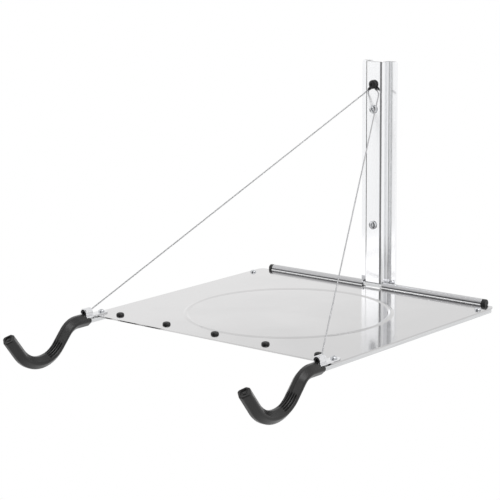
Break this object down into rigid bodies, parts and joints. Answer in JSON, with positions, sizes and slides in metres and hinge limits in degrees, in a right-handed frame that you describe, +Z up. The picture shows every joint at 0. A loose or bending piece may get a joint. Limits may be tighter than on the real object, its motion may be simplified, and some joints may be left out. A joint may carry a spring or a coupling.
{
  "type": "folding wall bike rack",
  "caption": "Folding wall rack for one bicycle: an upright rail, a tray that folds up about a rod at the rail's foot, two rubber-covered hooks and two stay cables.",
  "frame": {"origin": "on the wall plane, half way between the two wall screws and on the rail's centre line", "axes": "+Z up, +Y into the wall, +X to the right for someone who faces the wall; the tray stands out towards -Y"},
  "size_m": [0.3118, 0.4505, 0.2821],
  "materials": {
    "bright_aluminium": "bright anodised extrusion",
    "mirror_sheet": "mirror-polished sheet steel",
    "bright_steel": "bright drawn steel",
    "plated_steel": "zinc-plated steel",
    "chrome": "bright chrome plate",
    "steel_rope": "twisted wire rope",
    "black_steel": "black oxide",
    "black_plastic": "moulded, satin",
    "black_rubber": "moulded, satin"
  },
  "bodies": {
    "rail": {"wall_rail": "bright_aluminium", "hinge_rod": "bright_steel", "hinge_cap_left": "black_plastic", "hinge_cap_right": "black_plastic", "wall_screw_upper": "plated_steel", "wall_screw_lower": "plated_steel", "cable_bolt": "black_steel", "cable_bolt_washer": "plated_steel", "cable_bolt_nut": "plated_steel", "eyelet_left": "black_steel", "eyelet_right": "black_steel", "cable_left": "steel_rope", "cable_right": "steel_rope"},
    "tray": {"tray": "mirror_sheet", "hook_arm_left": "bright_steel", "hook_arm_right": "bright_steel", "hook_sleeve_left": "black_rubber", "hook_sleeve_right": "black_rubber", "anchor_left": "chrome", "anchor_right": "chrome", "anchor_plug_left": "black_steel", "anchor_plug_right": "black_steel", "cable_stop_left": "plated_steel", "cable_stop_right": "plated_steel", "tray_screw_front_left": "plated_steel", "tray_screw_front_right": "plated_steel", "tray_screw_rear_left": "plated_steel", "tray_screw_rear_right": "plated_steel", "bumper_1": "black_rubber", "bumper_2": "black_rubber", "bumper_3": "black_rubber", "bumper_4": "black_rubber", "bumper_5": "black_rubber"}
  },
  "joints": [
    {"name": "tray_fold", "type": "hinge", "parent": "rail", "child": "tray", "pos_m": [0, -0.011, -0.1285], "axis": [-1, 0, 0], "range_deg": [0, 84], "deforming": ["cable_left", "cable_right"]}
  ]
}
